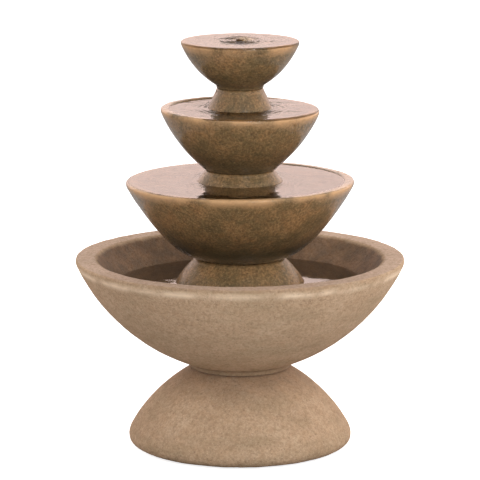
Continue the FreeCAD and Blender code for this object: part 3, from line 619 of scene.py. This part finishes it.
def pits_at(points, count, seed, where):
    """How deep shallow random pits go at each point, in metres, and how far into a pit it is, from 0 to 1.

    The pits' centres are among the points that where picks.
    """
    random = np.random.default_rng(seed)
    depth = np.zeros(len(points))
    inside = np.zeros(len(points))
    candidates = np.flatnonzero(where)
    order = np.argsort(points[:, 2])
    heights = points[order, 2]
    for centre in random.choice(candidates, count):
        radius = random.uniform(*PIT_RADII)
        pit_depth = radius * random.uniform(*PIT_DEPTHS)
        low, high = np.searchsorted(heights, (points[centre, 2] - radius, points[centre, 2] + radius))
        near = order[low:high]
        away = np.linalg.norm(points[near] - points[centre], axis=1) / radius
        share = np.clip(1 - away ** 2, 0, 1) ** 1.5
        depth[near] = np.maximum(depth[near], share * pit_depth)
        inside[near] = np.maximum(inside[near], share)
    return depth, inside


def casting(node, corners, segments, spacing, pits, material, damp_and_shade=None, wear_and_highlight=None, soak_and_shade=None, body=None,
            lean=(0, 0), seats=()):
    """One stone casting in place of its CAD node, with a count of pits. spacing gives how close its rows are.

    The three arguments after material give, from 0 to 1, how far each point is darkened by wetness and by
    painted shade, how far it is rubbed pale and brightened by a painted highlight, and how far it is darkened
    by soaking and by painted shade.
    lean is how far its rim stands above level at its highest point, in metres, and the way to it, in degrees.
    seats are the heights at which it stands on another casting or carries one, where it stays true.
    """
    outline = resample(outline_points(corners), spacing)
    points, faces, normals = turned_mesh(outline, segments)
    seed = SEED + sum(ord(letter) for letter in node)
    low_waves = fractal(points, WAVE_SIZE, seed, 2)
    ripples = fractal(points, RIPPLE_SIZE, seed + 7, 2)
    radius = np.hypot(points[:, 0], points[:, 1])
    showing = radius > outline[:, 0].max() * 0.2
    depth, inside = pits_at(points, pits, seed, showing)
    # Worn, paler rim edges, which the stone materials also use to paint a highlight band.
    worn_and_highlit_edge = wear_and_highlight(radius, points[:, 2]) if wear_and_highlight else np.zeros(len(points))
    chips = np.clip(fractal(points, CHIP_SIZE, seed + 3, 3) - 0.2, 0, 1) * worn_and_highlit_edge
    sink = WAVE_DEPTH * (1 - low_waves) + RIPPLE_DEPTH * (1 - ripples) + depth + CHIP_DEPTH * chips
    for seat in seats:
        sink *= np.clip(np.abs(points[:, 2] - seat) / SEAT_REACH - 0.3, 0, 1)
    places = points - normals * sink[:, None]
    rise, heading = lean[0], math.radians(lean[1])
    across = points[:, 0] * math.cos(heading) + points[:, 1] * math.sin(heading)
    places[:, 2] += rise * across / radius.max() * (points[:, 2] - foot(node)) / (top(node) - foot(node))
    piece = new_object(node + "_stone", places, faces, material)
    add_field(piece, "pit", inside)
    patchy = np.clip(fractal(points, WEAR_AND_HIGHLIGHT_PATCH, seed + 5, 5) * 1.7 + 0.55, 0, 1)
    add_field(piece, "wear_and_highlight", worn_and_highlit_edge * patchy)
    add_field(piece, "damp_and_shade", damp_and_shade(points, radius, seed) if damp_and_shade else np.zeros(len(points)))
    add_field(piece, "soak_and_shade", soak_and_shade(points, seed) if soak_and_shade else np.zeros(len(points)))
    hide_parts(node)
    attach(piece, body or node)
    return piece


def corner(radius, height, sweep=None, hollowed=False, before=0, after=0):
    """One corner of an outline, in metres: see outline_points."""
    return {"at": (radius, height), "sweep": sweep, "hollowed": hollowed, "before": before, "after": after}


def ring_share(radius, height, ring, reach):
    """1 on the circle ring = (radius, height), and 0 from reach away from it."""
    away = np.hypot(radius - ring[0], height - ring[1])
    return np.clip(1 - away / reach, 0, 1)


def spaced(fine, coarse, hidden, edges=(), edge_step=None, edge_reach=30 * MM):
    """How far apart an outline's points are: fine, closer at the edges, and coarse where hidden says so."""
    def spacing(points):
        step = np.full(len(points), fine)
        for edge in edges:
            near = np.hypot(points[:, 0] - edge[0], points[:, 1] - edge[1]) < edge_reach
            step[near] = edge_step
        step[hidden(points)] = coarse
        return step
    return spacing


def cut_block(piece, low, high, turns=(0,)):
    """Cut a block out of a piece, once for each turn in degrees round the upright axis."""
    for turn in turns:
        bpy.ops.mesh.primitive_cube_add(size=1)
        cutter = bpy.context.object
        size = [b - a for a, b in zip(low, high)]
        middle = [(a + b) / 2 for a, b in zip(low, high)]
        angle = math.radians(turn)
        cutter.scale = size
        cutter.location = (middle[0] * math.cos(angle) - middle[1] * math.sin(angle),
                           middle[0] * math.sin(angle) + middle[1] * math.cos(angle), middle[2])
        cutter.rotation_euler.z = angle
        cut_with(piece, cutter)


def cut_with(piece, cutter):
    """Take the cutter's shape out of the piece, and the cutter out of the scene."""
    bpy.context.view_layer.update()
    modifier = piece.modifiers.new("cut", "BOOLEAN")
    modifier.object = cutter
    modifier.solver = "MANIFOLD"
    evaluated = piece.evaluated_get(bpy.context.evaluated_depsgraph_get())
    mesh = bpy.data.meshes.new_from_object(evaluated)
    piece.modifiers.clear()
    old = piece.data
    piece.data = mesh
    bpy.data.meshes.remove(old)
    bpy.data.objects.remove(cutter)


def make_base():
    node = "base_pedestal"
    low, high, reach = foot(node), top(node) + SEAT_GROWTH, widest(node)
    edge = (reach + 19.5 * MM, low)
    corners = [
        corner(232 * MM, low, before=3 * MM, after=3 * MM),
        corner(*edge, sweep=440 * MM, before=82 * MM, after=62 * MM),
        corner(136 * MM, high, before=10 * MM, after=8 * MM),
        corner(108 * MM, high, sweep=350 * MM, hollowed=True, before=4 * MM, after=4 * MM),
    ]

    def hidden(points):
        climbed = (points[:, 1] - low) / (high - low)
        return points[:, 0] < 262 * MM - climbed * 140 * MM

    def damp_and_shade(points, radius, seed):
        # Painted shadow of the basin: the base darkens most at its top and fades out 70 mm down, over a
        # slight uneven darkening all over.
        shadow_edge = high - 70 * MM
        painted_shade = np.clip((points[:, 2] - shadow_edge) / (70 * MM), 0, 1)
        return 0.16 + 0.5 * painted_shade + 0.12 * fractal(points, 70 * MM, seed + 11, 3)

    piece = casting(node, corners, 460, spaced(4.4 * MM, 12 * MM, hidden), 420, DRY_STONE, damp_and_shade, body="base",
                    seats=[high])
    notch_half, notch_top, clear = 22 * MM, low + 34 * MM, 50 * MM
    cut_block(piece, (-notch_half, 120 * MM, low - 10 * MM), (notch_half, reach + clear, notch_top))


def make_basin():
    node = "basin"
    low, high, reach = foot(node) - SEAT_GROWTH, top(node), widest(node)
    floor = foot("riser")
    rim, lip = (reach + 8 * MM, high), (399 * MM, high)
    corners = [
        corner(0, low + 64 * MM),
        corner(98 * MM, low + 64 * MM, before=5 * MM, after=5 * MM),
        corner(104 * MM, low, before=3 * MM, after=3 * MM),
        corner(141 * MM, low, before=5 * MM, after=5 * MM),
        corner(141 * MM, low + 11 * MM, sweep=545 * MM, before=4 * MM, after=8 * MM),
        corner(*rim, before=26 * MM, after=14 * MM),
        corner(*lip, sweep=900 * MM, hollowed=True, before=12 * MM, after=14 * MM),
        corner(BASIN_FLOOR, floor, before=20 * MM, after=20 * MM),
        corner(0, floor),
    ]

    def inner(radius, height):
        return height > floor - 20 * MM + (radius - BASIN_FLOOR)

    def hidden(points):
        deep = inner(points[:, 0], points[:, 1]) & (points[:, 1] < BASIN_WATER - 20 * MM)
        return deep | (points[:, 0] < 100 * MM)

    def damp_and_shade(points, radius, seed):
        uneven = fractal(points, 35 * MM, seed + 11, 3) * 5 * MM
        share = np.clip((lip[0] + 1 * MM - radius + uneven) / (8 * MM), 0, 1)
        # Painted shade on the front of the rim's top, the side towards -Y, which is darker than its sides.
        in_front = np.clip((-points[:, 1] / np.maximum(radius, 1 * MM) - 0.35) / 0.4, 0, 1)
        painted_shade = 0.36 * in_front * np.clip((points[:, 2] - high + 14 * MM) / (8 * MM), 0, 1)
        # Painted shade at the basin's foot, under its overhang where it sits on the base.
        painted_foot_shade = 0.55 * np.clip((low + 22 * MM - points[:, 2]) / (8 * MM), 0, 1) * (radius < 170 * MM)
        return np.maximum(share * inner(radius, points[:, 2]), painted_shade + painted_foot_shade)

    # Paler wear with a painted highlight along the rim's outer ridge, 22 mm below its top.
    def wear_and_highlight(radius, height):
        return ring_share(radius, height, (reach - 2 * MM, high - 22 * MM), 15 * MM)

    # In the basin this darkens only the stone under the water, for being wet.
    def soak_and_shade(points, seed):
        uneven = fractal(points, 60 * MM, seed + 13, 2) * 2 * MM
        return np.clip((BASIN_WATER + 3 * MM - points[:, 2] + uneven) / (4 * MM), 0, 1) * 0.75

    spacing = spaced(5.2 * MM, 16 * MM, hidden, [rim, lip], 3.2 * MM)
    piece = casting(node, corners, 520, spacing, 700, DRY_STONE, damp_and_shade, wear_and_highlight, soak_and_shade, seats=[low])
    stopper = BOXES["drain_stopper"]
    centre = (stopper[0] + stopper[1]) / 2
    bpy.ops.mesh.primitive_cylinder_add(radius=DRAIN_RADIUS, depth=200 * MM, vertices=48,
                                        location=(centre.x, centre.y, floor - 20 * MM))
    cut_with(piece, bpy.context.object)


def make_riser():
    node = "riser"
    low, high = foot(node), top(node) + SEAT_GROWTH
    crown = (124 * MM, high)
    hole, hollow, ceiling = 24 * MM, 110 * MM, high - 28 * MM
    notch_half = 21 * MM
    corners = [
        corner(189 * MM, low, before=3 * MM, after=3 * MM),
        corner(217 * MM, low, sweep=300 * MM, before=3 * MM, after=3 * MM),
        corner(*crown, before=9 * MM, after=9 * MM),
        corner(hole, high, before=2 * MM, after=2 * MM),
        corner(hole, ceiling, before=2 * MM, after=2 * MM),
        corner(hollow, ceiling, sweep=272 * MM, hollowed=True, before=8 * MM, after=8 * MM),
    ]

    def hidden(points):
        return (points[:, 1] < BASIN_WATER - 20 * MM) | (points[:, 0] < hollow)

    spacing = spaced(3.0 * MM, 12 * MM, hidden, [crown], 2.0 * MM, 14 * MM)
    piece = casting(node, corners, 420, spacing, 160, RISER_STONE, seats=[high])
    cut_block(piece, (160 * MM, -notch_half, low - 10 * MM), (230 * MM, notch_half, low + 22 * MM),
              (0, 90, 180, 270))


def bowl_corners(low, outside, rim, lip, inner_sweep, floor_edge):
    """The outline of a spill bowl with a bore: its foot and outside, then its rim, its lip and its floor."""
    return [
        corner(BOWL_BORE, low),
        *outside,
        corner(*rim, before=20 * MM, after=18 * MM),
        corner(*lip, sweep=inner_sweep, hollowed=True, before=6 * MM, after=6 * MM),
        corner(*floor_edge, before=15 * MM, after=15 * MM),
        corner(BOWL_BORE, floor_edge[1]),
    ]


def painted_shade_below(height, reach, most):
    """Painted shade: stone that darkens downwards from a height, by most at a reach below it, standing in for
    the shade under a bowl.
    """
    def soak_and_shade(points, seed):
        uneven = fractal(points, 50 * MM, seed + 13, 2) * 0.15
        return np.clip((height - points[:, 2]) / reach + uneven, 0, 1) * most
    return soak_and_shade


def wear_and_highlight_on_rim(rim):
    # Paler wear with a painted highlight in a band round the rounded rim, inside and below its corner.
    def wear_and_highlight(radius, height):
        return ring_share(radius, height, (rim[0] - 9 * MM, rim[1] - 7 * MM), 24 * MM)
    return wear_and_highlight


def under_water(level, wall):
    """Whether an outline's point is inside the bowl, well below the water."""
    def hidden(points):
        return (points[:, 1] < level - 12 * MM) & (points[:, 0] < wall(points[:, 1]))
    return hidden


def make_lower_bowl():
    node = "lower_bowl"
    low, high = foot(node) - SEAT_GROWTH, top(node)
    rim, lip = (rim_radius(node), high), (289 * MM, high)
    floor_radius, floor_rise = FLOOR_EDGE[node]
    outside = [
        corner(124 * MM, low, sweep=210 * MM, before=4 * MM, after=6 * MM),
        corner(199 * MM, low + 43 * MM, sweep=748 * MM, before=26 * MM, after=26 * MM),
    ]
    corners = bowl_corners(low, outside, rim, lip, 400 * MM, (floor_radius, low + floor_rise))
    inside = under_water(high, lambda height: 170 * MM + (height - low - floor_rise) * 0.8)
    spacing = spaced(3.6 * MM, 12 * MM, inside, [rim], 2.2 * MM)
    casting(node, corners, 520, spacing, 260, WET_STONE, wear_and_highlight=wear_and_highlight_on_rim(rim),
            soak_and_shade=painted_shade_below(low + 112 * MM, 76 * MM, 0.85), lean=LOWER_LEAN, seats=[low])


def make_middle_bowl():
    node = "middle_bowl"
    low, high = foot(node) - SEAT_GROWTH, top(node)
    rim, lip = (rim_radius(node), high), (196 * MM, high)
    floor_radius, floor_rise = FLOOR_EDGE[node]
    outside = [corner(98 * MM, low, sweep=411 * MM, before=4 * MM, after=6 * MM)]
    corners = bowl_corners(low, outside, rim, lip, 330 * MM, (floor_radius, low + floor_rise))
    inside = under_water(high, lambda height: 116 * MM + (height - low - floor_rise) * 0.75)
    spacing = spaced(3.0 * MM, 10 * MM, inside, [rim], 2.0 * MM)
    casting(node, corners, 440, spacing, 160, WET_STONE, wear_and_highlight=wear_and_highlight_on_rim(rim),
            soak_and_shade=painted_shade_below(low + 84 * MM, 74 * MM, 0.5), lean=MIDDLE_LEAN, seats=[low])


def make_top_bowl():
    node = "top_bowl"
    low, high = foot(node) - SEAT_GROWTH, top(node)
    rim, lip = (rim_radius(node), high), (142 * MM, high)
    floor_radius, floor_rise = FLOOR_EDGE[node]
    floor, ceiling = low + floor_rise, low + 26 * MM
    bore, recess, outer_foot = 11 * MM, 36 * MM, 65.5 * MM
    corners = [
        corner(recess, low, before=2 * MM, after=2 * MM),
        corner(outer_foot, low, before=3 * MM, after=3 * MM),
        corner(outer_foot, low + 6 * MM, sweep=240 * MM, before=3 * MM, after=6 * MM),
        corner(*rim, before=14 * MM, after=14 * MM),
        corner(*lip, sweep=210 * MM, hollowed=True, before=6 * MM, after=6 * MM),
        corner(floor_radius, floor, before=12 * MM, after=12 * MM),
        corner(bore, floor),
        corner(bore, ceiling),
        corner(recess, ceiling, before=3 * MM, after=3 * MM),
    ]
    inside = under_water(high, lambda height: 80 * MM + (height - low - floor_rise) * 0.75)
    spacing = spaced(2.6 * MM, 8 * MM, inside, [rim], 1.8 * MM)
    casting(node, corners, 380, spacing, 110, WET_STONE, wear_and_highlight=wear_and_highlight_on_rim(rim),
            soak_and_shade=painted_shade_below(low + 56 * MM, 50 * MM, 0.45), seats=[low])


def make_pedestal(node, radii, sweep):
    """A hollow pedestal. radii gives its foot, its top and the hole through its cap."""
    low, high = foot(node), top(node) + SEAT_GROWTH
    painted_foot_shade, at_top, hole = radii
    wall, cap = 24 * MM, 19.2 * MM
    crown = (at_top, high)
    corners = [
        corner(painted_foot_shade - wall, low, before=2 * MM, after=2 * MM),
        corner(painted_foot_shade, low, sweep=sweep, before=2 * MM, after=2 * MM),
        corner(*crown, before=6 * MM, after=6 * MM),
        corner(hole, high, before=2 * MM, after=2 * MM),
        corner(hole, high - cap, before=2 * MM, after=2 * MM),
        corner(at_top - cap, high - cap, sweep=sweep - wall, hollowed=True, before=6 * MM, after=6 * MM),
    ]

    def hidden(points):
        return points[:, 0] < at_top - 10 * MM

    casting(node, corners, 320, spaced(2.8 * MM, 9 * MM, hidden, [crown], 1.8 * MM, 12 * MM), 70, WET_STONE,
            seats=[high])


make_base()
make_basin()
make_riser()
make_lower_bowl()
make_middle_bowl()
make_top_bowl()
make_pedestal("lower_pedestal", (150 * MM, 94.5 * MM, 40 * MM), 211 * MM)
make_pedestal("upper_pedestal", (107 * MM, 64 * MM, 30 * MM), 317 * MM)


# ---------------------------------------------------------------- water

def rings(points, wavelength, reach, fade, seed):
    """Rings of waves round the axis, from -1 to 1, strongest at the radius reach and weaker over fade."""
    radius = np.hypot(points[:, 0], points[:, 1])
    uneven = fractal(points, 60 * MM, seed, 2) * wavelength * 0.35
    return np.sin((radius + uneven) / wavelength * math.tau) * np.exp(-((radius - reach) / fade) ** 2)


def water_piece(name, body, outline, segments, spacing, waves, level):
    """A body of water turned from its outline. waves(points) gives how high its flat top is stirred."""
    rows = resample(np.asarray(outline), spacing)
    points, faces, _ = turned_mesh(rows, segments)
    on_top = np.clip(1 - (level - points[:, 2]) / (1.5 * MM), 0, 1)
    points[:, 2] += waves(points) * on_top
    piece = new_object(name, points, faces, WATER)
    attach(piece, body)


# The water's bulge over a rim: how far out from where it starts, and how far below the level there.
BULGE = [(0, 0), (3 * MM, 0.2 * MM), (6 * MM, 0.9 * MM), (8.5 * MM, 2.4 * MM), (9 * MM, 5 * MM),
         (6 * MM, 8 * MM)]
# How far under a floor's surface the water's underside is hidden.
FLOOR_COVER = 7 * MM


def spill_water(bowl, inner, rounding, drop, around, stir, seed, spread=0):
    """The water in a brim-full spill bowl, which bulges over its rim and ends under the stone's surface.

    inner is the radius of what comes up through its middle, rounding how far in from the rim it starts to
    bulge, drop how far below the rim its level is, around the radius of what stands in it, stir how rough its
    surface is, and spread how far its underside reaches past the edge of the bowl's floor.
    """
    level = top(bowl) - drop
    rim = rim_radius(bowl)
    edge = rim - rounding
    crown = [(edge + out, level - down) for out, down in BULGE]
    underside = floor_height(bowl) - FLOOR_COVER
    floor_reach = FLOOR_EDGE[bowl][0] + spread
    outline = [(inner, underside), (floor_reach, underside), (rim - 30 * MM, level - 30 * MM),
               (rim - 22 * MM, level - 14 * MM), *reversed(crown), (inner, level)]

    def spacing(points):
        step = np.full(len(points), 4 * MM)
        step[points[:, 1] < level - 6 * MM] = 12 * MM
        step[(points[:, 0] > edge - 4 * MM) & (points[:, 1] >= level - 9 * MM)] = 1 * MM
        return step

    def waves(points):
        still = np.clip((rim - 22 * MM - np.hypot(points[:, 0], points[:, 1])) / (30 * MM), 0.15, 1)
        swell = fractal(points * (1, 1, 0), 46 * MM, seed, 2) * 0.42 * MM
        chop = fractal(points * (1, 1, 0), 17 * MM, seed + 5, 2) * 0.14 * MM
        wash = rings(points, 17 * MM, around + 8 * MM, 38 * MM, seed + 9) * 0.30 * MM
        return (swell + chop + wash) * still * stir

    water_piece(bowl + "_water", bowl, outline, 420, spacing, waves, level)


def make_basin_water():
    underside = foot("riser") - FLOOR_COVER
    reach = 356 * MM
    outline = [(0, underside), (BASIN_FLOOR, underside), (reach, BASIN_WATER - 20 * MM),
               (reach, BASIN_WATER), (0, BASIN_WATER)]

    def spacing(points):
        return np.where(points[:, 1] < BASIN_WATER - 1 * MM, 24 * MM, 5 * MM)

    def waves(points):
        swell = fractal(points * (1, 1, 0), 90 * MM, 301, 2) * 0.35 * MM
        chop = fractal(points * (1, 1, 0), 30 * MM, 305, 2) * 0.09 * MM
        wash = rings(points, 30 * MM, 300 * MM, 50 * MM, 309) * 0.14 * MM
        slosh = points[:, 0] * points[:, 1] / reach ** 2 * 5.6 * MM
        return swell + chop + wash + slosh

    water_piece("basin_water", "basin", outline, 460, spacing, waves, BASIN_WATER)


def make_boil():
    """Frothy water that wells up behind the outlet's mouth and spreads over the top bowl."""
    level = top("top_bowl") - 1 * MM
    underside = level - 4 * MM
    reach, rise = 34 * MM, 9 * MM
    centre = np.array((12 * MM, 22 * MM, 0))
    shares = np.linspace(1, 0, 30)
    dome = [(reach * share, level + rise * (1 + math.cos(math.pi * share)) / 2) for share in shares]
    rows = resample(np.array([(0, underside), (reach, underside), *dome]),
                    lambda points: np.full(len(points), 1.2 * MM))
    points, faces, normals = turned_mesh(rows, 120)
    lumps = fractal(points, 13 * MM, 501, 3)
    creases = np.abs(smooth_noise(points, 8 * MM, 505))
    stirred = np.clip((points[:, 2] - level) / (4 * MM), 0, 1)
    places = points + normals * ((2.4 * MM * lumps - 1.6 * MM * creases) * stirred)[:, None] + centre
    ragged = 1 + 0.3 * smooth_noise(points, 20 * MM, 509)
    places[:, :2] = centre[:2] + (places[:, :2] - centre[:2]) * ragged[:, None]
    piece = new_object("top_bowl_boil", places, faces, FROTH)
    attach(piece, "top_bowl")


make_basin_water()
make_boil()
spill_water("lower_bowl", 13 * MM, 20 * MM, 2.4 * MM, 120 * MM, 1.1, 41, spread=8 * MM)
spill_water("middle_bowl", 13 * MM, 18 * MM, 2.0 * MM, 92 * MM, 3.4, 61)
spill_water("top_bowl", 9.5 * MM, 14 * MM, 0.5 * MM, 30 * MM, 4.2, 81)


# ---------------------------------------------------------------- studio

# The studio's brightness by how far up a direction points, from level, 0, to straight up, 1.
FRONT_SKY = [(0.0, (0.64, 0.64, 0.63, 1)), (0.5, (0.7, 0.69, 0.68, 1)), (1.0, (0.5, 0.5, 0.5, 1))]
BACK_SKY = [(0.0, (1.3, 0.98, 0.87, 1)), (0.13, (1.55, 1.19, 1.08, 1)), (0.152, (1.68, 1.26, 1.13, 1)),
            (0.178, (2.0, 1.52, 1.36, 1)), (0.3, (2.0, 1.56, 1.4, 1)), (0.5, (0.8, 0.75, 0.72, 1)),
            (1.0, (0.5, 0.5, 0.5, 1))]


def make_floor(name, height, shade, glow, shown):
    """One of two floors: the one that is shown itself, and the one that lights the fountain in its place."""
    shader = Shader(name)
    shader.set(Base_Color=(shade, shade, shade, 1.0), Roughness=0.9, Specular_IOR_Level=0.1,
               Emission_Color=(1.0, 1.0, 1.0, 1.0), Emission_Strength=glow)
    bpy.ops.mesh.primitive_plane_add(size=60, location=(0, 0, height))
    floor = bpy.context.object
    floor.name = name
    floor.data.materials.append(shader.material)
    floor.visible_camera = shown
    floor.visible_diffuse = not shown
    floor.visible_glossy = not shown
    floor.visible_transmission = not shown


def add_light(name, place, aim_height, size, power, colour):
    """A square light of the given size, turned to a height on the fountain's axis."""
    data = bpy.data.lights.new(name, "AREA")
    data.shape = "RECTANGLE"
    data.size = size
    data.size_y = size
    data.energy = power
    data.color = colour
    light = bpy.data.objects.new(name, data)
    light.location = place
    direction = mathutils.Vector((0, 0, aim_height)) - mathutils.Vector(place)
    light.rotation_mode = "QUATERNION"
    light.rotation_quaternion = direction.to_track_quat("-Z", "Y")
    bpy.context.scene.collection.objects.link(light)
    return light


def make_world():
    """A white studio, brighter and warmer behind the fountain than in front of it."""
    world = bpy.data.worlds.new("studio")
    world.use_nodes = True
    nodes = Nodes(world.node_tree)
    outward = nodes.add("ShaderNodeTexCoord").outputs["Generated"]
    direction = nodes.add("ShaderNodeSeparateXYZ", {"Vector": outward}).outputs
    behind = nodes.between(direction["Y"], -0.5, 0.5)
    sky = nodes.blend(behind, nodes.ramp(direction["Z"], FRONT_SKY), nodes.ramp(direction["Z"], BACK_SKY))
    nodes.feed(world.node_tree.nodes["Background"].inputs["Color"], sky)
    bpy.context.scene.world = world


def make_camera():
    """The camera looks at the axis from the front, a little above the object, through a long lens."""
    data = bpy.data.cameras.new("camera")
    data.sensor_width = 36
    data.lens = 247.5
    camera = bpy.data.objects.new("camera", data)
    distance, elevation, aim = 9.185, math.radians(11.06), 0.583
    camera.location = (0, -distance * math.cos(elevation), aim + distance * math.sin(elevation))
    camera.rotation_euler = (math.pi / 2 - elevation, 0, 0)
    bpy.context.scene.collection.objects.link(camera)
    bpy.context.scene.camera = camera


make_floor("studio_floor", 0, 0.93, 0.8, shown=True)
make_floor("studio_bounce", -2 * MM, 0.62, 0, shown=False)
add_light("overhead", (0.2, 0.3, 4.2), 0.4, 3.2, 27, (1.0, 0.99, 0.98))
add_light("key", (1.5, -4.2, 2.0), 0.5, 2.0, 86, (1.0, 0.99, 0.98))
for name, across, power in (("right", 4.0, 50), ("left", -4.0, 30)):
    side_light = add_light(name, (across, 0.4, 1.8), 1.0, 2.0, power, (1.0, 0.98, 0.95))
    side_light.visible_glossy = False
    side_light.visible_transmission = False
make_world()
make_camera()
bpy.context.scene.view_settings.view_transform = "Standard"
